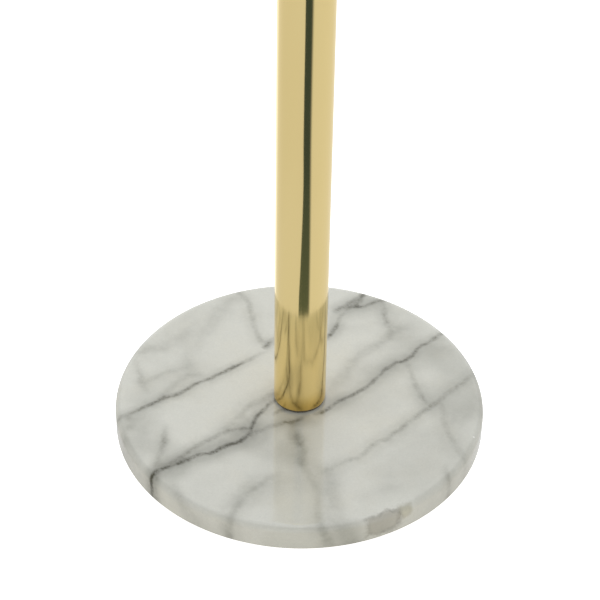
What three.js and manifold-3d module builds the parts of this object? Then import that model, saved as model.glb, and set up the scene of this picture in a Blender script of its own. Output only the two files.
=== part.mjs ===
// Kitchen-roll holder: an upright brass-plated post bolted through a round marble base.
// Units are millimetres, +Z is up, and the origin is the point of the table under the
// middle of the base.

import * as THREE from "three";
import { mergeVertices } from "three/addons/utils/BufferGeometryUtils.js";
import Module from "manifold-3d";

// ---------------------------------------------------------------- driving dimensions

const GAP = 0.3; // assembly gap between pieces that touch

// base slab
const BASE_R = 80;
const BASE_T = 12;
const BASE_TOP_ROUND = 3.2; // round-over of the top edge
const BASE_BOTTOM_ROUND = 1.0;
const BASE_HOLE_R = 3.5; // clearance hole for the M6 bolt
const COUNTERBORE_R = 11;
const COUNTERBORE_D = 8;
const POST_SEAT_R = 12.5; // the ground ring on top that the post stands on

// anti-slip feet
const FOOT_R = 6.5;
const FOOT_H = 2.5; // table to the slab's underside
const FOOT_CIRCLE_R = 62;
const FOOT_COUNT = 4;

// post
const POST_R = 11.25;
const POST_WALL = 1;
const POST_EDGE = 0.35; // broken edges at both ends of the tube
const OVERALL_H = 320;

// cap
const CAP_SKIRT = 2.6; // straight side of the cap
const CAP_DOME = 3.4; // rise of its crown
const CAP_STUD_R = 3;
const CAP_STUD_L = 12;

// threaded inserts, one in each end of the tube
const INSERT_L = 16;
const INSERT_RECESS = 0.3; // each insert's face sits this far inside the tube's end
const INSERT_BORE_R = 3.3;

// clamp hardware under the slab
const BOLT_R = 3; // M6
const BOLT_L = 20;
const BOLT_HEAD_R = 5.25;
const BOLT_HEAD_H = 3.3;
const BOLT_SOCKET_AF = 4;
const BOLT_SOCKET_D = 2;
const LOCK_WASHER = { inner: 3.3, outer: 5.9, t: 1.2, slit: 1.1 };
const CLAMP_WASHER = { inner: 3.3, outer: 10, t: 1.2 };
const CUSHION_WASHER = { inner: 3.3, outer: 10.4, t: 0.6 };
const POST_GASKET = { inner: 4, outer: POST_R - 0.5, t: 0.7 }; // just inside the post's edge

// ---------------------------------------------------------------- derived levels

const baseBottom = FOOT_H;
const baseTop = baseBottom + BASE_T;
const counterboreRoof = baseBottom + COUNTERBORE_D;

const cushionTop = counterboreRoof - GAP;
const clampTop = cushionTop - CUSHION_WASHER.t - GAP;
const lockTop = clampTop - CLAMP_WASHER.t - GAP;
const boltHeadTop = lockTop - LOCK_WASHER.t - GAP;

const gasketBottom = baseTop + GAP;
const tubeBottom = gasketBottom + POST_GASKET.t + GAP; // the post stands on the gasket
const lowerInsertBottom = tubeBottom + INSERT_RECESS;

const capBottom = OVERALL_H - CAP_DOME - CAP_SKIRT;
const tubeTop = capBottom - GAP;
const upperInsertBottom = tubeTop - INSERT_RECESS - INSERT_L;

// ---------------------------------------------------------------- materials

const paint = (color, roughness, metalness) =>
  new THREE.MeshStandardMaterial({
    color: new THREE.Color().setStyle(color),
    roughness,
    metalness,
  });

// ---------------------------------------------------------------- shape helpers

const wasm = await Module();
wasm.setup();

// A profile of [radius, height] pairs turned about the Z axis. It either starts and ends on
// the axis or runs round a closed loop; it is listed anticlockwise, so the faces point out.
function turned(profile, segments) {
  const points = profile.map(([r, z]) => new THREE.Vector2(r, z));
  const first = points[0];
  const last = points[points.length - 1];
  if (first.x > 0 || last.x > 0) points.push(first.clone());
  return new THREE.LatheGeometry(points, segments).rotateX(Math.PI / 2);
}

// Points of a quarter circle about [r, z], from one angle to another, in degrees.
function arc(r, z, radius, from, to, steps) {
  const out = [];
  for (let i = 0; i <= steps; i++) {
    const a = THREE.MathUtils.degToRad(from + ((to - from) * i) / steps);
    out.push([r + radius * Math.cos(a), z + radius * Math.sin(a)]);
  }
  return out;
}

function ring(inner, outer, bottom, top, edge, segments) {
  return turned(
    [
      [inner, bottom],
      [outer - edge, bottom],
      [outer, bottom + edge],
      [outer, top - edge],
      [outer - edge, top],
      [inner, top],
    ],
    segments,
  );
}

function solid(geometry) {
  const bare = geometry.index ? geometry.toNonIndexed() : geometry.clone();
  bare.deleteAttribute("normal");
  bare.deleteAttribute("uv");
  const merged = mergeVertices(bare, 1e-4);
  return new wasm.Manifold(
    new wasm.Mesh({
      numProp: 3,
      vertProperties: merged.attributes.position.array,
      triVerts: new Uint32Array(merged.index.array),
    }),
  );
}

function geometryOf(manifold) {
  const mesh = manifold.getMesh();
  const geometry = new THREE.BufferGeometry();
  geometry.setAttribute(
    "position",
    new THREE.BufferAttribute(new Float32Array(mesh.vertProperties), 3),
  );
  geometry.setIndex(new THREE.BufferAttribute(new Uint32Array(mesh.triVerts), 1));
  geometry.computeVertexNormals();
  return geometry;
}

function piece(name, geometry, material) {
  const mesh = new THREE.Mesh(geometry, material);
  mesh.name = name;
  return mesh;
}

// ---------------------------------------------------------------- base

// The slab: flat top and underside, a soft round-over above and a small one below, a
// clearance hole on the axis and a counterbore for the clamp hardware underneath.
function marbleBase() {
  const top = arc(
    BASE_R - BASE_TOP_ROUND,
    baseTop - BASE_TOP_ROUND,
    BASE_TOP_ROUND,
    0,
    90,
    6,
  );
  const bottom = arc(
    BASE_R - BASE_BOTTOM_ROUND,
    baseBottom + BASE_BOTTOM_ROUND,
    BASE_BOTTOM_ROUND,
    -90,
    0,
    3,
  );
  const profile = [
    [POST_SEAT_R, baseTop],
    [BASE_HOLE_R, baseTop],
    [BASE_HOLE_R, counterboreRoof],
    [COUNTERBORE_R, counterboreRoof],
    [COUNTERBORE_R, baseBottom],
    ...bottom,
    ...top,
  ];
  return piece("marble_base", turned(profile, 96), paint("#cbccc5", 0.22, 0));
}

// A low round bumper with a broken lower edge, modelled about its own axis.
function rubberFoot(index) {
  const h = FOOT_H - GAP;
  const profile = [
    [0, 0],
    [FOOT_R - 0.9, 0],
    [FOOT_R - 0.25, 0.35],
    [FOOT_R, 0.95],
    [FOOT_R, h],
    [0, h],
  ];
  const foot = piece(
    `rubber_foot_${index + 1}`,
    turned(profile, 24),
    paint("#2a2a2a", 0.8, 0),
  );
  const a = ((index + 0.5) / FOOT_COUNT) * Math.PI * 2;
  foot.position.set(FOOT_CIRCLE_R * Math.cos(a), FOOT_CIRCLE_R * Math.sin(a), 0);
  return foot;
}

// ---------------------------------------------------------------- post

function postTube() {
  const e = POST_EDGE;
  const inner = POST_R - POST_WALL;
  const profile = [
    [inner, tubeBottom],
    [POST_R - e, tubeBottom],
    [POST_R, tubeBottom + e],
    [POST_R, tubeTop - e],
    [POST_R - e, tubeTop],
    [inner, tubeTop],
  ];
  return piece("post_tube", turned(profile, 64), paint("#d9c391", 0.14, 1));
}

// A turned steel slug with a threaded hole right through it.
function insert(name, bottom) {
  return piece(
    name,
    ring(
      INSERT_BORE_R,
      POST_R - POST_WALL - GAP,
      bottom,
      bottom + INSERT_L,
      0.6,
      32,
    ),
    paint("#8d8f92", 0.4, 1),
  );
}

// A low crowned cap with a stud that screws into the upper insert.
function topCap() {
  const crownR = (POST_R * POST_R + CAP_DOME * CAP_DOME) / (2 * CAP_DOME);
  const crownZ = OVERALL_H - crownR;
  const shoulder = capBottom + CAP_SKIRT;
  const steps = 8;
  const crown = [];
  const half = Math.asin(POST_R / crownR);
  for (let i = 1; i <= steps; i++) {
    const a = half * (1 - i / steps);
    crown.push([
      i === steps ? 0 : crownR * Math.sin(a),
      crownZ + crownR * Math.cos(a),
    ]);
  }
  const profile = [
    [0, capBottom - CAP_STUD_L],
    [CAP_STUD_R - 0.5, capBottom - CAP_STUD_L],
    [CAP_STUD_R, capBottom - CAP_STUD_L + 0.5],
    [CAP_STUD_R, capBottom],
    [POST_R - POST_EDGE, capBottom],
    [POST_R, capBottom + POST_EDGE],
    [POST_R, shoulder],
    ...crown,
  ];
  return piece("top_cap", turned(profile, 64), paint("#d9c391", 0.14, 1));
}

// ---------------------------------------------------------------- clamp hardware

// Button-head screw with a hexagon socket, head down and shank up.
function baseBolt() {
  const head = boltHeadTop;
  const low = head - BOLT_HEAD_H;
  const body = turned(
    [
      [0, low],
      [2.9, low],
      [4.1, low + 0.75],
      [4.9, low + 1.7],
      [BOLT_HEAD_R, low + 2.6],
      [BOLT_HEAD_R, head],
      [BOLT_R, head],
      [BOLT_R, head + BOLT_L - 0.6],
      [BOLT_R - 0.6, head + BOLT_L],
      [0, head + BOLT_L],
    ],
    32,
  );
  const socket = new THREE.CylinderGeometry(
    BOLT_SOCKET_AF / Math.sqrt(3),
    BOLT_SOCKET_AF / Math.sqrt(3),
    BOLT_SOCKET_D + 1,
    6,
  )
    .rotateX(Math.PI / 2)
    .translate(0, 0, low - 1 + (BOLT_SOCKET_D + 1) / 2);
  const cut = solid(body).subtract(solid(socket));
  return piece("base_bolt", geometryOf(cut), paint("#77797c", 0.4, 1));
}

// Spring washer: a square-section ring with a slanted slit.
function lockWasher() {
  const { inner, outer, t, slit } = LOCK_WASHER;
  const body = ring(inner, outer, lockTop - t, lockTop, 0.1, 32);
  const blade = new THREE.BoxGeometry(outer, slit, t * 3)
    .rotateX(THREE.MathUtils.degToRad(20))
    .translate(outer / 2 + inner / 2, 0, lockTop - t / 2);
  const cut = solid(body).subtract(solid(blade));
  return piece("lock_washer", geometryOf(cut), paint("#77797c", 0.4, 1));
}

function washer(name, size, top, material) {
  return piece(
    name,
    ring(size.inner, size.outer, top - size.t, top, 0.12, 32),
    material,
  );
}

// ---------------------------------------------------------------- assembly

const holder = new THREE.Group();
holder.name = "paper_towel_holder";

const base = new THREE.Group();
base.add(marbleBase());
for (let i = 0; i < FOOT_COUNT; i++) base.add(rubberFoot(i));

const post = new THREE.Group();
post.add(
  postTube(),
  insert("bottom_insert", lowerInsertBottom),
  insert("top_insert", upperInsertBottom),
  topCap(),
  washer(
    "post_gasket",
    POST_GASKET,
    gasketBottom + POST_GASKET.t,
    paint("#3a3632", 0.9, 0),
  ),
);

const clamp = new THREE.Group();
clamp.add(
  baseBolt(),
  lockWasher(),
  washer("clamp_washer", CLAMP_WASHER, clampTop, paint("#8d8f92", 0.4, 1)),
  washer("cushion_washer", CUSHION_WASHER, cushionTop, paint("#2a2a2a", 0.9, 0)),
);

holder.add(base, post, clamp);

export default holder;
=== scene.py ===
"""Paper towel holder: a polished gold-coloured post standing on a round slab of veined
marble. The looks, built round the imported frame. Everything is in metres."""

import math

import bmesh
import bpy
from mathutils import Matrix, Vector


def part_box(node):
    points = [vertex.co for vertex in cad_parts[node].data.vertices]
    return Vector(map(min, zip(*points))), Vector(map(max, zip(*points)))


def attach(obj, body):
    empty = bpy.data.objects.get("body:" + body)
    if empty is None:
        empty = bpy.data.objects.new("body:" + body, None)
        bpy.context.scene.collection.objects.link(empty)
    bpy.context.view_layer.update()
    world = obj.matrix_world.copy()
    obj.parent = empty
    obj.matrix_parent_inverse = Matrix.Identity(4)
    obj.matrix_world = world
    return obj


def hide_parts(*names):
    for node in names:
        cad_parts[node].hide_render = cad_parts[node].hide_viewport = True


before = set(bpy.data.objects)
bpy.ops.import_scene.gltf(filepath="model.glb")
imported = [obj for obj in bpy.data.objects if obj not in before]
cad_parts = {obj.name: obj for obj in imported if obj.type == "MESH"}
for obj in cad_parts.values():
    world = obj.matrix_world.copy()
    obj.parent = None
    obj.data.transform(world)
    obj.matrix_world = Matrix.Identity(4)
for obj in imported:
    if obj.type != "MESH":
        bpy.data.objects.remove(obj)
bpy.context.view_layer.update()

MM = 0.001

# ------------------------------------------------------------------ camera
# The photograph looks down on the slab at about 39 degrees, from about 0.84 m away.

CAM_ELEV = math.radians(38.87)
CAM_ROLL = math.radians(1.02)
CAM_DIST = 842.05 * MM
CAM_RIGHT = -0.58 * MM
CAM_UP = 51.33 * MM
CAM_LENS = 115.0  # on a 36 mm wide sensor
SLAB_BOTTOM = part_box("marble_base")[0].z
SLAB_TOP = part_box("marble_base")[1].z

fwd = Vector((0, math.cos(CAM_ELEV), -math.sin(CAM_ELEV)))
right = Vector((1, 0, 0))
up = right.cross(fwd)
cam_x = math.cos(CAM_ROLL) * right + math.sin(CAM_ROLL) * up
cam_y = -math.sin(CAM_ROLL) * right + math.cos(CAM_ROLL) * up
cam_at = (
    -fwd * CAM_DIST + right * CAM_RIGHT + up * CAM_UP + Vector((0, 0, SLAB_BOTTOM))
)
cam_data = bpy.data.cameras.new("camera")
cam_data.lens = CAM_LENS
cam_data.sensor_width = 36.0
cam_data.clip_start = 0.01
cam_data.clip_end = 50.0
camera = bpy.data.objects.new("camera", cam_data)
bpy.context.scene.collection.objects.link(camera)
turn = Matrix((cam_x, cam_y, -fwd)).transposed().to_4x4()
camera.matrix_world = Matrix.Translation(cam_at) @ turn
bpy.context.scene.camera = camera

# ------------------------------------------------------------------ node helpers


class Tree:
    """Short ways of adding and joining shader nodes."""

    def __init__(self, tree):
        self.t = tree
        self.count = 0

    def node(self, kind, **settings):
        n = self.t.nodes.new(kind)
        n.location = (-220 * (self.count // 12), -170 * (self.count % 12))
        self.count += 1
        for k, v in settings.items():
            setattr(n, k, v)
        return n

    def put(self, socket, value):
        if isinstance(value, bpy.types.NodeSocket):
            self.t.links.new(value, socket)
        elif value is not None:
            socket.default_value = value

    def math(self, op, a, b=None, c=None, clamp=False):
        n = self.node("ShaderNodeMath", operation=op, use_clamp=clamp)
        for s, v in zip(n.inputs, (a, b, c)):
            self.put(s, v)
        return n.outputs[0]

    def vec(self, op, a, b=None, scale=None):
        n = self.node("ShaderNodeVectorMath", operation=op)
        self.put(n.inputs[0], a)
        if b is not None:
            self.put(n.inputs[1], b)
        if scale is not None:
            self.put(n.inputs["Scale"], scale)
        return n.outputs["Value"] if op in ("DOT_PRODUCT", "LENGTH") else n.outputs[0]

    def remap(self, v, a, b, c=0.0, d=1.0, kind="LINEAR", clamp=True):
        n = self.node("ShaderNodeMapRange", interpolation_type=kind, clamp=clamp)
        for s, x in zip(n.inputs, (v, a, b, c, d)):
            self.put(s, x)
        return n.outputs[0]

    def curve(self, v, points, smooth=True):
        n = self.node("ShaderNodeFloatCurve")
        c = n.mapping.curves[0]
        pts = sorted(points)
        c.points[0].location = pts[0]
        c.points[1].location = pts[-1]
        for p in pts[1:-1]:
            c.points.new(*p)
        for p in c.points:
            p.handle_type = "AUTO_CLAMPED" if smooth else "VECTOR"
        n.mapping.update()
        self.put(n.inputs["Value"], v)
        return n.outputs[0]

    def noise(self, vector, scale, detail=3.0, rough=0.5, distort=0.0, color=False):
        n = self.node("ShaderNodeTexNoise")
        self.put(n.inputs["Vector"], vector)
        n.inputs["Scale"].default_value = scale
        n.inputs["Detail"].default_value = detail
        n.inputs["Roughness"].default_value = rough
        n.inputs["Distortion"].default_value = distort
        return n.outputs["Color"] if color else n.outputs[0]

    def mapping(self, vector, loc=(0, 0, 0), rot=(0, 0, 0), scale=(1, 1, 1), kind="POINT"):
        n = self.node("ShaderNodeMapping", vector_type=kind)
        self.put(n.inputs["Vector"], vector)
        n.inputs["Location"].default_value = loc
        n.inputs["Rotation"].default_value = rot
        n.inputs["Scale"].default_value = scale
        return n.outputs[0]

    def mix(self, fac, a, b, blend="MIX"):
        n = self.node("ShaderNodeMix", data_type="RGBA", blend_type=blend)
        n.clamp_factor = True
        self.put(n.inputs[0], fac)
        self.put(n.inputs[6], a)
        self.put(n.inputs[7], b)
        return n.outputs[2]


def material(name):
    m = bpy.data.materials.new(name)
    m.use_nodes = True
    nodes = m.node_tree.nodes
    nodes.clear()
    out = nodes.new("ShaderNodeOutputMaterial")
    shader = nodes.new("ShaderNodeBsdfPrincipled")
    out.location, shader.location = (600, 0), (300, 0)
    m.node_tree.links.new(shader.outputs[0], out.inputs["Surface"])
    return m, Tree(m.node_tree), shader


def rgb(r, g, b):
    return (r, g, b, 1.0)

# ------------------------------------------------------------------ levels

LIGHT_STONE = (0.60, 0.607, 0.560)
GREY_STONE = (0.42, 0.426, 0.386)
BASE_TONE = 0.02
VEIN_SHARE = (0.115, 0.112, 0.07)
BRASS_A = (0.965, 0.775, 0.367)
BRASS_B = (0.945, 0.755, 0.348)
# the warmer colour of the lower tube, a painted tint of the stone it mirrors
BRASS_LOW_MIRROR_TINT = (1.0, 0.775, 0.352)
FLOOR_GLOW = 0.93
FLOOR_BOUNCE = (0.95, 0.915, 0.85)
WORLD_LOW = 0.95
WORLD_HIGH = 0.70
BACK_GLOW = 1.0
FRONT_DARK = 0.75
FLOOR_LIFT = (0.17, 0.150, 0.12)
TOP_SHINE = 1.3
GAP_COLOUR_NEAR = (0.10, 0.125, 0.10)
GAP_COLOUR_FAR = (0.046, 0.066, 0.070)
# the gap's two sides, in degrees, by distance from the post in metres
GAP_LEFT = [(0.08, -10.5), (0.10, -10.5), (0.135, -6.0), (0.20, -0.5), (0.24, -3.0), (0.40, -4.0)]
GAP_RIGHT = [(0.08, 27.5), (0.10, 28.0), (0.135, 27.5), (0.20, 24.5), (0.24, 22.5), (0.40, 21.0)]
# half the brightness of the sweep by direction, from behind, round by the left, the
# front and the right to behind
SWEEP = [
    (-180, 0.57), (-143, 0.57), (-131, 0.42), (-119, 0.375), (-100, 0.350), (-90, 0.345), (0, 0.345),
    (30, 0.352), (90, 0.37), (125, 0.39), (150, 0.44), (165, 0.52), (180, 0.60),
]

# ------------------------------------------------------------------ marble
# The vein layout is drawn in the plane of the slab's top, in tenths of a
# millimetre from the post's axis. Each vein has a narrow core and a soft halo; the third
# number of a point is how strong the vein is there. lean is how far the vein drifts
# sideways for each millimetre that it goes down into the stone.
# name, core half-width mm, core strength, halo half-width mm, halo strength, lean, points

VEINS = [
    ("A1", 0.8, 0.58, 4, 0.25, (0, 0), [(-802, -173, 0.5), (-770, -150, 0.6), (-746, -136, 0.6), (-711, -116, 0.7), (-666, -82, 1), (-627, -55, 1), (-592, -27, 0.9), (-561, -9, 0.95), (-530, 6, 0.9), (-485, 43, 0.8), (-449, 73, 0.8), (-408, 99, 0.75), (-367, 131, 0.95), (-331, 155, 1), (-294, 182, 1), (-253, 216, 0.8), (-211, 254, 0.45), (-179, 280, 0.25), (-147, 298, 0.12), (-109, 316, 0)]),
    ("A2", 1.1, 0.5, 4, 0.25, (0, 0), [(-172, 320, 0), (-161, 331, 0.75), (-146, 350, 1), (-132, 366, 0.8), (-115, 383, 0.5), (-75, 422, 0.4), (-4, 481, 0.35), (69, 511, 0.3), (110, 534, 0)]),
    ("A3", 0.8, 0.6, 4.5, 0.3, (0, 0), [(83, 342, 0), (106, 378, 0.5), (127, 411, 0.9), (142, 441, 1), (158, 477, 0.9), (169, 506, 0.6), (183, 558, 0.35), (202, 594, 0.2), (220, 624, 0)]),
    ("U1", 1, 0.52, 5, 0.2, (0, 0), [(142, 578, 0), (160, 593, 0.5), (177, 610, 0.9), (206, 628, 0.8), (228, 654, 0.8), (260, 688, 0.8), (292, 719, 0.9), (329, 760, 0.6)]),
    ("U2", 0.9, 0.62, 4, 0.22, (0, 0), [(193, 605, 0), (207, 613, 0.5), (222, 620, 0.9), (259, 630, 1), (291, 635, 0.7), (323, 653, 0.8), (350, 670, 0.8), (382, 679, 0.7), (421, 703, 0.5)]),
    ("U3", 0.9, 0.5, 2.5, 0.1, (0, 0), [(250, 625, 0), (259, 642, 0.7), (269, 669, 0.9), (284, 711, 0.9), (301, 759, 0.7)]),
    ("D1", 0.75, 0.6, 4.2, 0.24, (0, 0), [(55, -122, 0), (80, -109, 0.5), (90, -103, 0.9), (121, -79, 0.85), (148, -54, 0.9), (167, -36, 0.9), (201, -9, 1), (242, 24, 0.85), (272, 55, 0.95), (303, 85, 0.85), (329, 118, 0.75), (355, 154, 0.7), (376, 187, 0.9), (402, 208, 1), (423, 233, 0.7), (444, 241, 0.8), (470, 258, 0.9), (491, 282, 1), (518, 322, 0.8), (545, 355, 0.85), (577, 379, 0.8), (610, 413, 0.85), (631, 436, 0.8), (674, 478, 0.7)]),
    ("E1", 0.95, 0.34, 5.2, 0.21, (0, 0), [(82, -476, 0), (111, -457, 0.3), (142, -441, 0.45), (180, -416, 0.45), (223, -388, 0.5), (255, -375, 0.55), (300, -324, 0.65), (333, -282, 0.65), (366, -263, 0.75), (400, -229, 0.75), (445, -187, 0.85), (473, -149, 0.75), (508, -112, 0.7), (543, -75, 0.85), (578, -42, 0.8), (613, -3, 0.75), (654, 43, 0.75), (691, 83, 0.8), (730, 128, 0.8), (761, 160, 0.7), (807, 204, 0.6)]),
    ("X1", 0.95, 0.32, 4.8, 0.19, (0, 0), [(455, 311, 0), (469, 256, 0.3), (484, 207, 0.5), (496, 138, 0.6), (508, 89, 0.8), (519, 50, 0.7), (533, 4, 0.8), (547, -26, 0.9), (568, -44, 0.5), (591, -56, 0)]),
    ("X2", 1, 0.34, 5, 0.2, (0, 0), [(360, 702, 0), (376, 633, 0.6), (385, 575, 0.9), (396, 509, 0.8), (409, 468, 0.6), (409, 421, 0.4), (403, 365, 0)]),
    ("X3", 1, 0.3, 5, 0.15, (0, 0), [(-301, 765, 0.4), (-286, 711, 0.6), (-251, 658, 0.7), (-232, 587, 0.75), (-219, 518, 0.8), (-200, 440, 0.8), (-176, 373, 0.8), (-157, 339, 0.5), (-136, 308, 0)]),
    ("X4", 2.2, 0.14, 7, 0.14, (0, 0), [(-267, 728, 0), (-286, 709, 0.5), (-324, 665, 0.7), (-360, 593, 0.7), (-391, 539, 0.7), (-425, 433, 0.6), (-455, 390, 0.5), (-474, 330, 0.6), (-493, 271, 0.5), (-492, 214, 0.7), (-486, 156, 0.4), (-479, 109, 0)]),
    ("B1", 0.8, 0.78, 4.8, 0.32, (0.08, 0), [(-617, -541, 1), (-609, -511, 1), (-592, -480, 0.95), (-568, -466, 1), (-524, -442, 0.85), (-504, -430, 0.9), (-475, -412, 0.8), (-436, -389, 0.75), (-396, -373, 0.85), (-355, -361, 0.9), (-321, -334, 1), (-286, -312, 1), (-255, -299, 0.9), (-231, -272, 0.9), (-211, -245, 1), (-206, -211, 1), (-196, -172, 1), (-178, -126, 0.8), (-153, -86, 0.75), (-128, -46, 0.65), (-108, -23, 0.4), (-77, 14, 0.3), (-43, 48, 0)]),
    ("B2", 0.9, 0.42, 5, 0.26, (0, 0), [(-577, -462, 0), (-549, -441, 0.6), (-525, -420, 0.8), (-486, -388, 0.85), (-448, -345, 0.75), (-409, -306, 0.75), (-369, -279, 0.75), (-340, -252, 0.65), (-309, -232, 0.7), (-279, -219, 0.7), (-248, -212, 0.75), (-222, -214, 0.8), (-205, -226, 0.5), (-191, -245, 0)]),
    ("B3", 1.3, 0.28, 7, 0.24, (0, 0), [(-361, -262, 0), (-330, -229, 0.4), (-291, -174, 0.6), (-251, -128, 0.65), (-216, -72, 0.7), (-176, -32, 0.7), (-134, 1, 0.8), (-114, 25, 0.7), (-78, 60, 0.5), (-43, 87, 0)]),
    ("B4", 0.9, 0.5, 3.5, 0.16, (0, 0), [(-221, -264, 0), (-208, -255, 0.5), (-185, -236, 0.7), (-160, -221, 0.6), (-119, -193, 0.45), (-83, -177, 0.6), (-65, -168, 0.8), (-37, -167, 0.95), (-19, -158, 0.8), (7, -141, 0.7), (25, -127, 0.3), (50, -118, 0)]),
    ("P1", 0.85, 0.5, 3, 0.1, (0, 0), [(-122, -120, 0), (-99, -104, 0.8), (-77, -91, 0.9), (-50, -87, 0.6), (-23, -95, 0.3), (7, -94, 0)]),
    ("S1", 0.9, 0.34, 3.4, 0.2, (0, 0), [(-568, -179, 0), (-571, -230, 0.45), (-574, -267, 0.95), (-574, -304, 1), (-578, -347, 0.7), (-583, -396, 0.6), (-588, -451, 0.5)]),
    ("S2", 1, 0.26, 4, 0.15, (0, 0), [(-745, 251, 0), (-717, 170, 0.5), (-702, 114, 0.8), (-692, 74, 1), (-676, 31, 0.4), (-659, -15, 0)]),
    ("S3", 1.1, 0.22, 4.5, 0.1, (0, 0), [(-691, 63, 0), (-663, 88, 0.5), (-623, 121, 0.6), (-582, 148, 0.6), (-540, 163, 0.6), (-509, 185, 0.6), (-490, 223, 0)]),
    ("S4", 1.2, 0.24, 4, 0.14, (0, 0), [(-625, -72, 0), (-597, -29, 0.6), (-564, 34, 0.5), (-543, 67, 0.6), (-510, 105, 0.6), (-484, 126, 0.8), (-450, 133, 0.5), (-415, 151, 0)]),
    ("S5", 2.2, 0.16, 7.5, 0.16, (0, 0), [(-767, 243, 0), (-747, 267, 0.4), (-716, 287, 0.8), (-674, 306, 0.8), (-610, 322, 0.7), (-563, 362, 0.7), (-512, 424, 0.6), (-477, 475, 0.4), (-438, 526, 0)]),
    ("C1", 1.3, 0.26, 6.5, 0.2, (-0.1, 0), [(-291, -908, 0.9), (-274, -768, 0.95), (-270, -734, 0.7), (-253, -692, 0.75), (-225, -639, 0.7), (-193, -591, 0.75), (-157, -545, 0.8), (-120, -508, 0.6), (-95, -492, 0.35), (-51, -467, 0)]),
    ("F1", 1.6, 0.3, 4, 0.1, (0, 0), [(-36, -140, 0), (-27, -175, 0.6), (-28, -219, 0.6), (-24, -270, 0.5), (-16, -315, 0)]),
    ("F2", 1.4, 0.3, 6, 0.2, (0.35, 0), [(-15, -203, 0), (-4, -247, 0.8), (4, -288, 1), (13, -326, 0.9), (14, -369, 0.75), (17, -411, 0.95), (34, -459, 0.45), (55, -503, 0.32), (71, -560, 0.32), (80, -628, 0.36), (85, -693, 0.42), (88, -748, 0.6), (103, -821, 0.9), (130, -892, 0.9)]),
    ("G1", 2.2, 0.16, 6.5, 0.14, (0.5, 0), [(117, -409, 0), (126, -459, 0.6), (137, -525, 0.7), (139, -580, 0.8), (145, -644, 0.6), (154, -707, 0.5), (164, -758, 0.7), (188, -802, 0.8), (219, -857, 0.8)]),
    ("R1", 1.1, 0.24, 6, 0.15, (0, 0), [(603, -1, 0), (616, -50, 0.5), (623, -97, 0.6), (624, -151, 0.8), (632, -198, 0.7), (646, -239, 0.8), (664, -304, 0.8), (684, -346, 0.6), (704, -380, 0.45), (734, -423, 0.35)]),
    ("R2", 2.5, 0.14, 7, 0.1, (0, 0), [(785, 63, 0.4), (764, 2, 0.6), (734, -56, 0.6), (701, -108, 0.6), (673, -159, 0.5), (644, -217, 0)]),
    ("R3", 0.9, 0.2, 4, 0.12, (0, 0), [(618, -396, 0), (622, -444, 0.6), (626, -480, 0.9), (633, -515, 0.8), (642, -550, 0.8), (658, -596, 0.6)]),
    ("N1", 1.8, 0.2, 6, 0.14, (0, 0), [(115, 19, 0), (132, 49, 0.4), (167, 98, 0.6), (203, 161, 0.6), (221, 209, 0.6), (250, 260, 0.7), (286, 303, 0.8), (333, 345, 0.8), (370, 386, 0.8), (402, 418, 0.8), (429, 452, 0.7), (466, 478, 0.6), (511, 509, 0)]),
    ("L1", 1.5, 0.2, 4.5, 0.12, (0, 0), [(-745, -130, 0), (-734, -156, 0.9), (-729, -190, 0.7), (-728, -224, 0.8), (-740, -253, 0.6), (-749, -296, 0.4), (-749, -346, 0)]),
    ("K1", 1.6, 0.14, 4.5, 0.14, (0.5, 0), [(-547, -533, 0), (-524, -568, 0.7), (-505, -602, 0.9), (-487, -643, 0.8), (-468, -677, 0.7)]),
    ("K2", 1.6, 0.1, 4.5, 0.12, (0, 0), [(-758, -234, 0.2), (-740, -296, 0.8), (-719, -351, 0.9), (-689, -411, 0.7), (-664, -459, 0.8), (-645, -500, 0.3)]),
    ("K3", 2.2, 0.1, 6.5, 0.12, (0, 0), [(-728, -75, 0), (-695, -113, 0.5), (-674, -169, 0.6), (-676, -245, 0.5), (-683, -319, 0.3), (-669, -392, 0)]),
    ("K4", 1.6, 0.1, 4.5, 0.12, (0.6, 0), [(-375, -737, 0), (-346, -765, 0.7), (-320, -798, 0.8), (-286, -836, 0.6)]),
    ("K5", 1.2, 0.08, 4.5, 0.1, (0, 0), [(-193, -465, 0), (-216, -531, 0.4), (-239, -596, 0.5), (-265, -643, 0.4), (-300, -690, 0.2), (-331, -725, 0)]),
    ("K6", 1.8, 0.08, 6.5, 0.1, (0, 0), [(414, -497, 0), (384, -545, 0.5), (338, -581, 0.6), (279, -612, 0.5), (222, -636, 0)]),
    ("K7", 2, 0.1, 6.5, 0.12, (0, 0), [(558, 314, 0), (627, 336, 0.5), (680, 324, 0.6), (727, 284, 0.5), (765, 237, 0.3)]),
    ("K8", 1.6, 0.08, 6, 0.12, (0, 0), [(133, 449, 0), (201, 472, 0.5), (269, 488, 0.4), (347, 519, 0.5), (417, 564, 0.5), (478, 609, 0.3)]),
    ("K9", 1.4, 0.08, 5, 0.08, (0, 0), [(-445, 657, 0), (-482, 568, 0.4), (-546, 501, 0.5), (-609, 414, 0.4), (-641, 357, 0)]),
]
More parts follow.
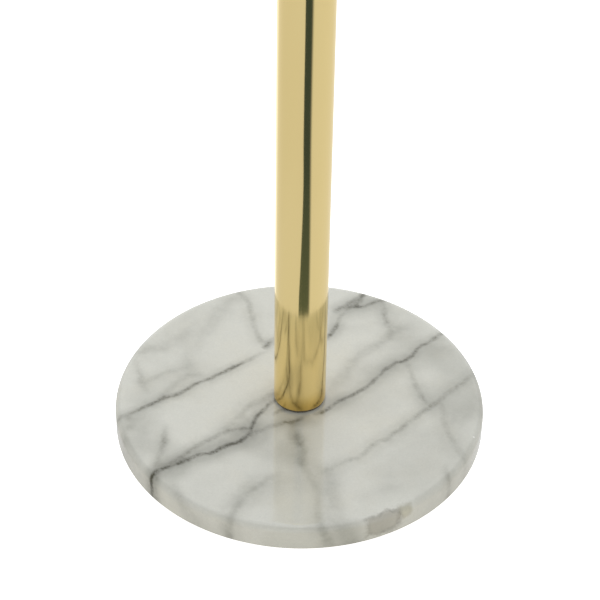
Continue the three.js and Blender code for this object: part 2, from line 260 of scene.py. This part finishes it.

# Soft clouds in the stone, and two dark ones laid as painted shade in front of the post's foot: centre x, y,
# half-lengths along and across (mm), turn (degrees), and how much darker (above 0) or lighter (below 0) the surface
# is there.
CLOUDS = [
    (28, 63, 26, 14, 20, 0.85),
    (15, 48, 10, 14, 0, 0.3),
    (48, 46, 16, 16, 0, 0.5),
    (49, 29, 22, 18, 30, 0.72),
    (62, 32, 16, 16, 0, 0.6),
    (37, 18, 18, 13, 40, 0.55),
    (70, 18, 16, 22, 60, 0.62),
    (26, 6, 34, 26, 35, 0.5),
    (17, -3, 12, 11, 0, 0.5),
    (71, -3, 20, 34, 70, 0.78),
    (53, 3, 16, 14, 0, 0.22),
    (55, -32, 40, 40, 0, 0.5),
    (43, -52, 26, 20, 20, 0.22),
    (-54, 9, 32, 20, 20, 0.42),
    (-66, -7, 14, 16, 0, 0.38),
    (-69, -19, 11, 20, 80, 0.5),
    (-61, -33, 14, 22, 70, 0.62),
    (-20, -23, 18, 14, 40, 0.98),
    (-37, -36, 46, 12, 31, 0.88),
    (-54, -48, 14, 12, 30, 0.8),
    (-12, -35, 13, 22, 60, 0.45),
    (-15, -59, 14, 18, 40, 0.34),
    # these two dark clouds are painted shade, where the post's foot shades the stone in front of it
    (-1, -15, 17, 10, 0, 0.75),
    (-3, -29, 9, 20, 0, 0.3),
    (2, -52, 30, 16, 0, 0.22),
    (13, -63, 12, 20, 0, 0.22),
    (-22, 44, 20, 16, 0, -0.1),
    (-31, -5, 26, 16, 35, -0.15),
    (19, -29, 16, 22, 40, -0.12),
    (26, -55, 14, 16, 40, -0.15),
    (-21, -54, 10, 12, 40, -0.15),
    (-3, -69, 30, 12, 0, -0.12),
    (23, -79, 11, 8, 0, 0.40),
]


def dots(t, p, direction):
    return t.vec("DOT_PRODUCT", p, tuple(direction))


def vein(t, p, through, beads, spec):
    """Multiplies `through`, the share of clean stone, by what this vein leaves of it.
    The dark core of a fine vein comes and goes in beads; its halo doesn't."""
    name, core_w, core_s, halo_w, halo_s, lean, points = spec
    pts = [(x * 0.1, y * 0.1, k) for x, y, k in points]
    a, b = Vector(pts[0][:2]), Vector(pts[-1][:2])
    u = (b - a).normalized()
    v = Vector((-u.y, u.x))
    us = [u.dot(Vector(q[:2])) for q in pts]
    vs = [v.dot(Vector(q[:2])) for q in pts]
    u0, u1 = us[0], us[-1]
    for i in range(1, len(us)):  # a vein runs one way along its own axis
        us[i] = max(us[i], us[i - 1] + 0.2)
    u1 = us[-1]
    v0, v1 = min(vs) - 1.0, max(vs) + 1.0
    slope = Vector(lean)
    along = dots(t, p, (u.x, u.y, u.dot(slope)))
    across = dots(t, p, (v.x, v.y, v.dot(slope)))
    s = t.remap(along, u0, u1)
    n_u = [(x - u0) / (u1 - u0) for x in us]
    line = t.curve(s, [(x, (y - v0) / (v1 - v0)) for x, y in zip(n_u, vs)])
    off = t.math("MULTIPLY_ADD", line, -(v1 - v0), across)
    dist = t.math("ABSOLUTE", t.math("SUBTRACT", off, v0))
    core = t.remap(dist, 0.0, core_w * 2.4, -core_s, 0.0, "SMOOTHSTEP")
    halo = t.remap(dist, 0.0, halo_w * 1.5, -halo_s, 0.0, "SMOOTHERSTEP")
    if core_w < 1.2:
        both = t.math("MULTIPLY_ADD", core, beads, halo)
    else:  # the soft veins are even along their length
        both = t.math("ADD", core, halo)
    amount = t.curve(s, [(x, q[2]) for x, q in zip(n_u, pts)], smooth=False)
    lost = t.math("MULTIPLY", both, amount)
    return t.math("MULTIPLY_ADD", through, lost, through)


def cloud(t, p, total, spec):
    x, y, rx, ry, deg, amount = spec
    q = t.mapping(
        p, (x, y, 0), (0, 0, math.radians(deg)), (rx, ry, 400), kind="TEXTURE"
    )
    f = t.remap(t.vec("LENGTH", q), 0.0, 1.0, amount, 0.0, "SMOOTHERSTEP")
    return t.math("ADD", total, f)


def inclusion(t, mm, colour):
    """A brownish pebble-like inclusion cut through at the rim, front right."""
    wob = t.vec("SUBTRACT", t.noise(mm, 0.22, 3.0, 0.55, color=True), (0.5, 0.5, 0.5))
    q = t.vec("ADD", mm, t.vec("SCALE", wob, scale=5.0))
    around = dots(t, q, (0.896, 0.443, 0.0))
    down = t.math(
        "SUBTRACT",
        t.math("SUBTRACT", t.vec("LENGTH", t.vec("MULTIPLY", q, (1, 1, 0))), 76.7),
        dots(t, q, (0, 0, 1)),
    )
    down = t.math("SUBTRACT", down, 1.2)
    facing = t.remap(dots(t, mm, (0.443, -0.896, 0.0)), 40.0, 50.0)
    grey = t.remap(t.noise(mm, 0.45, 3.0, 0.6), 0.3, 0.7, 0.62, 0.92)
    for left, right, low, strength, tint in (
        (-8.0, 7.6, 12.0, 0.30, (0.755, 0.735, 0.71)),
        (7.0, 13.5, 7.5, 0.08, (0.84, 0.82, 0.74)),
    ):
        wide = t.math("MINIMUM", t.math("SUBTRACT", around, left), t.math("SUBTRACT", right, around))
        tall = t.math("MINIMUM", down, t.math("SUBTRACT", low, down))
        inner = t.node("ShaderNodeMath", operation="SMOOTH_MIN")
        for s, v in zip(inner.inputs, (wide, tall, 3.5)):
            t.put(s, v)
        inner = inner.outputs[0]
        inside = t.math("MULTIPLY", t.remap(inner, -1.2, 1.6, kind="SMOOTHSTEP"), facing)
        colour = t.mix(inside, colour, rgb(*tint), "MULTIPLY")
        rim = t.remap(
            t.math("ABSOLUTE", t.math("SUBTRACT", inner, 0.5)), 0.0, 1.9, strength, 0.0, "SMOOTHSTEP"
        )
        rim = t.math("MULTIPLY", t.math("MULTIPLY", rim, facing), t.remap(grey, 0.66, 0.86, 1.3, 0.2))
        colour = t.mix(rim, colour, rgb(0.12, 0.115, 0.10))
    return colour


def fleck(t, mm, colour):
    """One bright crystal near the right-hand edge."""
    away = t.vec("LENGTH", t.vec("SUBTRACT", mm, (74.6, -23.7, 0.0)))
    return t.mix(t.remap(away, 0.25, 0.75, 1.0, 0.0), colour, rgb(0.85, 0.85, 0.83))


def marble_material():
    m, t, shader = material("veined_marble")
    at = t.node("ShaderNodeTexCoord").outputs["Object"]
    mm = t.vec("SCALE", t.vec("SUBTRACT", at, (0, 0, SLAB_TOP)), scale=1000.0)

    # small wanderings, so that no line is drawn with a ruler
    slow = t.vec("SUBTRACT", t.noise(mm, 0.085, 2.0, 0.5, color=True), (0.5, 0.5, 0.5))
    fine = t.vec("SUBTRACT", t.noise(mm, 0.55, 3.0, 0.6, color=True), (0.5, 0.5, 0.5))
    p = t.vec("ADD", mm, t.vec("SCALE", slow, scale=2.2))
    p = t.vec("ADD", p, t.vec("SCALE", fine, scale=0.75))

    beads = t.remap(t.noise(mm, 0.75, 3.0, 0.65), 0.36, 0.60, 0.62, 1.12)
    through = 1.0
    for spec in VEINS:
        through = vein(t, p, through, beads, spec)
    # the veins come and go in darkness along their length
    gone = t.math("SUBTRACT", 1.0, through)
    breaks = t.remap(t.noise(mm, 0.22, 3.0, 0.6), 0.32, 0.62, 0.62, 1.12)
    gone = t.math("MULTIPLY", gone, breaks, clamp=True)

    # tone of the body: listed clouds (two of them painted shade at the post's foot), wisps along the bedding and a
    # fine crystal grain
    total = 0.0
    for spec in CLOUDS:
        total = cloud(t, mm, total, spec)
    bed = t.mapping(mm, (0, 0, 0), (0, 0, math.radians(-33)), (0.020, 0.062, 0.03))
    wisps = t.noise(bed, 1.0, 4.0, 0.55, 0.6)
    total = t.math("ADD", total, t.remap(wisps, 0.35, 0.65, -0.09, 0.09))
    mottle = t.noise(mm, 0.16, 4.0, 0.6)
    total = t.math("ADD", total, t.remap(mottle, 0.3, 0.7, -0.07, 0.07))
    tone = t.math("ADD", total, BASE_TONE, clamp=True)

    body = t.mix(tone, rgb(*LIGHT_STONE), rgb(*GREY_STONE))
    # warm iron tint in places, cool in others
    tint = t.noise(t.mapping(mm, (31, 7, 0)), 0.045, 3.0, 0.55)
    body = t.mix(t.remap(tint, 0.50, 0.68, 0.0, 0.22), body, rgb(1.0, 0.965, 0.895), "MULTIPLY")
    body = t.mix(t.remap(tint, 0.50, 0.34, 0.0, 0.15), body, rgb(0.965, 0.975, 1.0), "MULTIPLY")

    crystals = t.node("ShaderNodeTexVoronoi", feature="F1")
    t.put(crystals.inputs["Vector"], mm)
    crystals.inputs["Scale"].default_value = 1.3
    grain = t.remap(
        t.vec("DOT_PRODUCT", crystals.outputs["Color"], (0.33, 0.33, 0.33)),
        0.0, 1.0, 0.965, 1.035, clamp=False,
    )
    speck = t.noise(mm, 1.9, 2.0, 0.7)
    grain = t.math("MULTIPLY", grain, t.remap(speck, 0.3, 0.7, 0.975, 1.025))
    body = t.vec("SCALE", body, scale=grain)

    dark = t.vec("MULTIPLY", body, VEIN_SHARE)
    colour = t.mix(gone, body, dark)
    colour = inclusion(t, mm, colour)
    colour = fleck(t, mm, colour)
    t.put(shader.inputs["Base Color"], colour)
    # polished, a little duller where the veins outcrop
    rough = t.math("MULTIPLY_ADD", gone, 0.10, t.remap(speck, 0.3, 0.7, 0.07, 0.11))
    t.put(shader.inputs["Roughness"], rough)
    shader.inputs["IOR"].default_value = 1.5
    # the polish leaves some crystals microns low
    bump = t.node("ShaderNodeBump")
    bump.inputs["Strength"].default_value = 0.03
    bump.inputs["Distance"].default_value = 0.0001
    t.put(bump.inputs["Height"], speck)
    t.put(shader.inputs["Normal"], bump.outputs[0])
    return m

# ------------------------------------------------------------------ other materials


def polished_brass():
    """Bright plating over a tube polished along its length."""
    m, t, shader = material("polished_brass")
    at = t.node("ShaderNodeTexCoord").outputs["Object"]
    mm = t.vec("SCALE", at, scale=1000.0)
    drift = t.noise(t.mapping(mm, scale=(0.05, 0.05, 0.012)), 1.0, 2.0, 0.5)
    lines = t.noise(t.mapping(mm, scale=(1.3, 1.3, 0.02)), 1.0, 3.0, 0.6)
    colour = t.mix(t.remap(drift, 0.35, 0.65), rgb(*BRASS_A), rgb(*BRASS_B))
    # painted reflection tint: a warmer colour on the lower tube, where it mirrors the stone
    low = t.remap(dots(t, mm, (0, 0, 1)), 48.0, 78.0, 1.0, 0.0, "SMOOTHSTEP")
    colour = t.mix(low, colour, rgb(*BRASS_LOW_MIRROR_TINT))
    # painted shade: the tube darkened just above where it meets its gasket
    painted_foot_shade = t.remap(dots(t, mm, (0, 0, 1)), 17.0, 27.0, 1.0, 0.0, "SMOOTHSTEP")
    painted_foot_shade = t.math("MULTIPLY", painted_foot_shade, t.remap(drift, 0.3, 0.7, 0.75, 1.0))
    colour = t.mix(painted_foot_shade, colour, rgb(0.86, 0.78, 0.52), "MULTIPLY")
    t.put(shader.inputs["Base Color"], colour)
    shader.inputs["Metallic"].default_value = 1.0
    t.put(shader.inputs["Roughness"], t.remap(lines, 0.3, 0.7, 0.085, 0.115))
    bump = t.node("ShaderNodeBump")
    bump.inputs["Strength"].default_value = 0.02
    bump.inputs["Distance"].default_value = 0.0001
    t.put(bump.inputs["Height"], t.math("ADD", t.math("MULTIPLY", lines, 0.4), drift))
    t.put(shader.inputs["Normal"], bump.outputs[0])
    return m


def turned_steel():
    m, t, shader = material("turned_steel")
    at = t.node("ShaderNodeTexCoord").outputs["Object"]
    mm = t.vec("SCALE", at, scale=1000.0)
    xy = t.vec("LENGTH", t.vec("MULTIPLY", mm, (1, 1, 0)))
    z = dots(t, mm, (0, 0, 1))
    rings = t.node("ShaderNodeCombineXYZ")
    t.put(rings.inputs[0], xy)
    t.put(rings.inputs[1], z)
    cut = t.noise(rings.outputs[0], 9.0, 2.0, 0.6)
    stain = t.noise(mm, 0.5, 3.0, 0.6)
    t.put(
        shader.inputs["Base Color"],
        t.mix(t.remap(stain, 0.3, 0.7), rgb(0.52, 0.52, 0.53), rgb(0.40, 0.41, 0.43)),
    )
    shader.inputs["Metallic"].default_value = 1.0
    t.put(shader.inputs["Roughness"], t.remap(cut, 0.3, 0.7, 0.26, 0.42))
    bump = t.node("ShaderNodeBump")
    bump.inputs["Strength"].default_value = 0.15
    bump.inputs["Distance"].default_value = 0.0001
    t.put(bump.inputs["Height"], cut)
    t.put(shader.inputs["Normal"], bump.outputs[0])
    return m


def rubber(name, dark, light, scale):
    m, t, shader = material(name)
    at = t.node("ShaderNodeTexCoord").outputs["Object"]
    mm = t.vec("SCALE", at, scale=1000.0)
    fine = t.noise(mm, scale, 3.0, 0.6)
    t.put(
        shader.inputs["Base Color"],
        t.mix(t.remap(fine, 0.3, 0.7), rgb(*dark), rgb(*light)),
    )
    t.put(shader.inputs["Roughness"], t.remap(fine, 0.3, 0.7, 0.62, 0.8))
    bump = t.node("ShaderNodeBump")
    bump.inputs["Strength"].default_value = 0.3
    bump.inputs["Distance"].default_value = 0.0001
    t.put(bump.inputs["Height"], fine)
    t.put(shader.inputs["Normal"], bump.outputs[0])
    return m


MARBLE = marble_material()
BRASS = polished_brass()
STEEL = turned_steel()
FOOT_RUBBER = rubber("foot_rubber", (0.018, 0.018, 0.018), (0.034, 0.033, 0.032), 4.0)
FIBRE = rubber("gasket_fibre", (0.070, 0.057, 0.036), (0.125, 0.104, 0.070), 2.5)

# ------------------------------------------------------------------ meshes


def arc(r, z, radius, start, end, steps):
    """Points of an arc about (r, z), from one angle to another, in degrees."""
    out = []
    for i in range(steps + 1):
        a = math.radians(start + (end - start) * i / steps)
        out.append((r + radius * math.cos(a), z + radius * math.sin(a)))
    return out


def turned(name, profile, segments, closed, mat, at=(0.0, 0.0)):
    """A profile of (radius, height) in mm turned about the Z axis through `at`. A closed
    profile runs round a loop; an open one starts and ends on the axis."""
    bm = bmesh.new()
    rows = []
    for r, z in profile:
        if r <= 1e-9:
            rows.append([bm.verts.new((at[0] * MM, at[1] * MM, z * MM))])
        else:
            rows.append(
                [
                    bm.verts.new(
                        (
                            (at[0] + r * math.cos(a)) * MM,
                            (at[1] + r * math.sin(a)) * MM,
                            z * MM,
                        )
                    )
                    for a in (2 * math.pi * k / segments for k in range(segments))
                ]
            )
    pairs = list(zip(rows, rows[1:]))
    if closed:
        pairs.append((rows[-1], rows[0]))
    for low, high in pairs:
        for k in range(segments):
            j = (k + 1) % segments
            if len(low) == 1 and len(high) == 1:
                continue
            if len(low) == 1:
                bm.faces.new((low[0], high[j], high[k]))
            elif len(high) == 1:
                bm.faces.new((low[k], low[j], high[0]))
            else:
                bm.faces.new((low[k], low[j], high[j], high[k]))
    bmesh.ops.recalc_face_normals(bm, faces=bm.faces)
    mesh = bpy.data.meshes.new(name)
    bm.to_mesh(mesh)
    bm.free()
    ob = bpy.data.objects.new(name, mesh)
    bpy.context.scene.collection.objects.link(ob)
    finish_piece(ob, mat)
    return ob


def finish_piece(ob, mat, angle=32.0):
    ob.data.materials.clear()
    ob.data.materials.append(mat)
    for poly in ob.data.polygons:
        poly.use_smooth = True
    ob.data.set_sharp_from_angle(angle=math.radians(angle))


TOP = SLAB_TOP / MM
LOW = SLAB_BOTTOM / MM

# The slab: a generous round-over above, a small one below, the bolt's hole and its
# counterbore. Narrow rings beside each curve keep the flats flat in the shading.
slab = turned(
    "marble_slab",
    [(3.5, TOP - 0.3), (3.8, TOP), (4.4, TOP), (12.5, TOP), (45.0, TOP), (74.0, TOP), (76.3, TOP)]
    + [p for p in reversed(arc(76.8, TOP - 3.2, 3.2, 0, 90, 18))]
    + [(80.0, TOP - 3.5), (80.0, LOW + 1.3)]
    + [p for p in reversed(arc(79.0, LOW + 1.0, 1.0, -90, 0, 8))]
    + [(78.6, LOW), (45.0, LOW), (11.6, LOW), (11.2, LOW), (11.0, LOW + 0.2)]
    + [(11.0, LOW + 7.9), (10.9, LOW + 8.0), (4.0, LOW + 8.0), (3.5, LOW + 8.0)],
    256,
    True,
    MARBLE,
)
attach(slab, "root")
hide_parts("marble_base")

# The tube: rolled edges at both ends. It stands on the dark gasket.
TUBE_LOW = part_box("post_tube")[0].z / MM
TUBE_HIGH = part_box("post_tube")[1].z / MM
POST_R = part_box("post_tube")[1].x / MM
tube = turned(
    "post",
    [(POST_R - 1.0, TUBE_LOW + 0.5), (POST_R - 0.9, TUBE_LOW + 0.1), (POST_R - 0.7, TUBE_LOW)]
    + arc(POST_R - 0.45, TUBE_LOW + 0.45, 0.45, -90, 0, 8)
    + [(POST_R, TUBE_LOW + 0.8), (POST_R, 60.0), (POST_R, 130.0), (POST_R, 220.0)]
    + [(POST_R, TUBE_HIGH - 0.6)]
    + arc(POST_R - 0.35, TUBE_HIGH - 0.35, 0.35, 0, 90, 6)
    + [(POST_R - 0.8, TUBE_HIGH), (POST_R - 1.0, TUBE_HIGH - 0.2), (POST_R - 1.0, 200.0)],
    160,
    True,
    BRASS,
)
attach(tube, "root")
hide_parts("post_tube")

# The gasket under the post, a little smaller than it, shows as a thin dark line.
GASKET_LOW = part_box("post_gasket")[0].z / MM
GASKET_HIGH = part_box("post_gasket")[1].z / MM
GASKET_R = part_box("post_gasket")[1].x / MM
gasket = turned(
    "gasket",
    [(4.2, GASKET_LOW), (GASKET_R - 0.25, GASKET_LOW)]
    + arc(GASKET_R - 0.2, GASKET_LOW + 0.2, 0.2, -80, 0, 4)
    + arc(GASKET_R - 0.2, GASKET_HIGH - 0.2, 0.2, 0, 80, 4)
    + [(GASKET_R - 0.25, GASKET_HIGH), (4.2, GASKET_HIGH), (4.0, GASKET_HIGH - 0.2), (4.0, GASKET_LOW + 0.2)],
    128,
    True,
    FIBRE,
)
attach(gasket, "root")
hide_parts("post_gasket")

# The cap: a low crown with a soft shoulder, a short register and its stud.
CAP_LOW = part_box("top_cap")[1].z / MM - 6.0
CAP_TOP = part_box("top_cap")[1].z / MM
crown_r = (POST_R**2 + 3.4**2) / (2 * 3.4)
half = math.asin((POST_R - 0.8) / crown_r)
crown = [
    (crown_r * math.sin(half * (1 - i / 14.0)), CAP_TOP - crown_r + crown_r * math.cos(half * (1 - i / 14.0)))
    for i in range(15)
]
crown[-1] = (0.0, CAP_TOP)
edge_z = crown[0][1]
cap = turned(
    "post_cap",
    [(0.0, CAP_LOW - 12.0), (2.4, CAP_LOW - 12.0), (3.0, CAP_LOW - 11.4), (3.0, CAP_LOW - 0.1)]
    + [(3.1, CAP_LOW), (POST_R - 0.6, CAP_LOW)]
    + arc(POST_R - 0.35, CAP_LOW + 0.35, 0.35, -85, 0, 5)
    + [(POST_R, CAP_LOW + 0.7), (POST_R, CAP_LOW + 2.3), (POST_R - 0.03, CAP_LOW + 2.55)]
    + [(POST_R - 0.14, CAP_LOW + 2.78), (POST_R - 0.34, CAP_LOW + 2.94)]
    + [(POST_R - 0.55, (CAP_LOW + 3.02 + edge_z) / 2)]
    + crown,
    128,
    False,
    BRASS,
)
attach(cap, "root")
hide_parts("top_cap")

# The feet: moulded bumpers with a dished sole.
for i in range(4):
    name = f"rubber_foot_{i + 1}"
    lo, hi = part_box(name)
    cx, cy = (lo.x + hi.x) / 2 / MM, (lo.y + hi.y) / 2 / MM
    top = hi.z / MM
    foot = turned(
        f"foot_{i + 1}",
        [(0.0, 0.35), (3.2, 0.3), (3.9, 0.05), (4.2, 0.0), (5.4, 0.0)]
        + arc(5.4, 1.0, 1.0, -85, -5, 6)
        + [(6.45, 1.3), (6.42, top - 0.35)]
        + arc(6.12, top - 0.3, 0.3, 10, 90, 4)
        + [(0.0, top)],
        48,
        False,
        FOOT_RUBBER,
        at=(cx, cy),
    )
    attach(foot, "root")
    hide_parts(name)

# Hardware inside the post and in the counterbore: the CAD pieces, with their finishes.
for name in ("bottom_insert", "top_insert", "base_bolt", "lock_washer", "clamp_washer"):
    finish_piece(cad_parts[name], STEEL)
finish_piece(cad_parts["cushion_washer"], FIBRE)

# ------------------------------------------------------------------ studio
# A white sweep lit evenly from all round. In the polished post it shows as the photograph's
# studio did: pale grey in front, with one dark gap towards the camera.


def studio_floor():
    m = bpy.data.materials.new("studio_floor")
    m.use_nodes = True
    t = Tree(m.node_tree)
    m.node_tree.nodes.clear()
    out = t.node("ShaderNodeOutputMaterial")
    ray = t.node("ShaderNodeLightPath")
    at = t.node("ShaderNodeTexCoord").outputs["Object"]
    seen = t.node("ShaderNodeBsdfDiffuse")
    seen.inputs["Color"].default_value = rgb(0.86, 0.86, 0.86)
    glow = t.node("ShaderNodeEmission")
    glow.inputs["Color"].default_value = rgb(1, 1, 1)
    glow.inputs["Strength"].default_value = FLOOR_GLOW
    bright = t.node("ShaderNodeAddShader")
    t.put(bright.inputs[0], seen.outputs[0])
    t.put(bright.inputs[1], glow.outputs[0])
    matt = t.node("ShaderNodeBsdfDiffuse")
    matt.inputs["Color"].default_value = rgb(*FLOOR_BOUNCE)
    lift = t.node("ShaderNodeEmission")
    lift.inputs["Color"].default_value = rgb(*FLOOR_LIFT)
    dim = t.node("ShaderNodeAddShader")
    t.put(dim.inputs[0], matt.outputs[0])
    t.put(dim.inputs[1], lift.outputs[0])
    plain = t.node("ShaderNodeMixShader")
    t.put(plain.inputs[0], ray.outputs["Is Camera Ray"])
    t.put(plain.inputs[1], dim.outputs[0])
    t.put(plain.inputs[2], bright.outputs[0])

    # what the polished metal sees of the sweep
    apart = t.node("ShaderNodeSeparateXYZ")
    t.put(apart.inputs[0], at)
    minus_y = t.math("MULTIPLY", apart.outputs[1], -1.0)
    angle = t.math("ARCTAN2", apart.outputs[0], minus_y)  # 0 towards the camera
    deg = t.math("MULTIPLY", angle, 180 / math.pi)
    reach = t.vec("LENGTH", at)
    out_by = t.remap(reach, 0.0, 0.4)
    edges = [
        t.math("MULTIPLY", t.curve(out_by, [(r / 0.4, a / 60 + 0.5) for r, a in side]), 60.0)
        for side in (GAP_LEFT, GAP_RIGHT)
    ]
    deg_30 = t.math("ADD", deg, 30.0)
    inside = t.math(
        "MULTIPLY",
        t.remap(t.math("SUBTRACT", deg_30, edges[0]), -1.5, 1.5, kind="SMOOTHSTEP"),
        t.remap(t.math("SUBTRACT", edges[1], deg_30), -10.0, 2.0, kind="SMOOTHSTEP"),
    )
    side = t.curve(t.remap(deg, -180.0, 180.0), [((a + 180) / 360, b) for a, b in SWEEP])
    tone = t.node("ShaderNodeCombineColor")
    for s in tone.inputs:
        t.put(s, t.math("MULTIPLY", side, 2.0))
    far = t.remap(reach, 0.08, 0.22)
    gap = t.mix(far, rgb(*GAP_COLOUR_NEAR), rgb(*GAP_COLOUR_FAR))
    colour = t.mix(inside, tone.outputs[0], gap)
    mirrored = t.node("ShaderNodeEmission")
    t.put(mirrored.inputs["Color"], colour)
    last = t.node("ShaderNodeMixShader")
    t.put(last.inputs[0], ray.outputs["Is Glossy Ray"])
    t.put(last.inputs[1], plain.outputs[0])
    t.put(last.inputs[2], mirrored.outputs[0])
    t.put(out.inputs["Surface"], last.outputs[0])
    return m


def studio():
    bm = bmesh.new()
    steps = 96
    ring = [
        bm.verts.new((12 * math.cos(a), 12 * math.sin(a), 0.0))
        for a in (2 * math.pi * k / steps for k in range(steps))
    ]
    bm.faces.new(ring)
    mesh = bpy.data.meshes.new("floor")
    bm.to_mesh(mesh)
    bm.free()
    floor = bpy.data.objects.new("floor", mesh)
    bpy.context.scene.collection.objects.link(floor)
    mesh.materials.append(studio_floor())

    world = bpy.data.worlds.new("studio")
    bpy.context.scene.world = world
    world.use_nodes = True
    t = Tree(world.node_tree)
    world.node_tree.nodes.clear()
    out = t.node("ShaderNodeOutputWorld")
    ray = t.node("ShaderNodeLightPath")
    at = t.node("ShaderNodeTexCoord").outputs["Generated"]
    height = dots(t, at, (0, 0, 1))
    level = t.remap(height, 0.0, 1.0, WORLD_LOW, WORLD_HIGH)
    # a large soft light behind and above, which the polished stone mirrors
    behind = dots(t, at, (0.0, math.cos(math.radians(38)), math.sin(math.radians(38))))
    level = t.math("ADD", level, t.remap(behind, 0.72, 0.97, 0.0, BACK_GLOW, "SMOOTHSTEP"))
    # the dark side of the room in front, which the stone beside the post mirrors
    aim = t.node("ShaderNodeSeparateXYZ")
    t.put(aim.inputs[0], at)
    turn_to = t.math("ARCTAN2", aim.outputs[0], t.math("MULTIPLY", aim.outputs[1], -1.0))
    turn_to = t.math("MULTIPLY", turn_to, 180 / math.pi)
    front = t.math(
        "MULTIPLY",
        t.remap(turn_to, -26.0, -8.0, kind="SMOOTHSTEP"),
        t.remap(turn_to, 12.0, 26.0, 1.0, 0.0, "SMOOTHSTEP"),
    )
    front = t.math("MULTIPLY", front, t.remap(height, 0.10, 0.22, kind="SMOOTHSTEP"))
    front = t.math("MULTIPLY", front, t.remap(height, 0.86, 0.95, 1.0, 0.0, "SMOOTHSTEP"))
    front = t.math("MULTIPLY", front, ray.outputs["Is Glossy Ray"])
    twice = t.math("GREATER_THAN", ray.outputs["Ray Depth"], 1.5)
    front = t.math("MULTIPLY", front, twice)
    level = t.math("MULTIPLY", level, t.math("MULTIPLY_ADD", front, -FRONT_DARK, 1.0))
    # an overhead panel, which shows only as the shine along the rounded edge
    shine = t.remap(height, 0.78, 0.95, 0.0, TOP_SHINE, "SMOOTHSTEP")
    shine = t.math("MULTIPLY", shine, ray.outputs["Is Glossy Ray"])
    level = t.math("ADD", level, shine)
    soft = t.node("ShaderNodeBackground")
    soft.inputs["Color"].default_value = rgb(1.0, 1.0, 0.995)
    t.put(soft.inputs["Strength"], level)
    white = t.node("ShaderNodeBackground")
    white.inputs["Color"].default_value = rgb(1, 1, 1)
    white.inputs["Strength"].default_value = 1.05
    both = t.node("ShaderNodeMixShader")
    t.put(both.inputs[0], ray.outputs["Is Camera Ray"])
    t.put(both.inputs[1], soft.outputs[0])
    t.put(both.inputs[2], white.outputs[0])
    t.put(out.inputs["Surface"], both.outputs[0])


studio()
bpy.context.scene.view_settings.view_transform = "Standard"
bpy.context.scene.view_settings.look = "None"
bpy.context.scene.view_settings.exposure = 0.0
bpy.context.scene.view_settings.gamma = 1.0
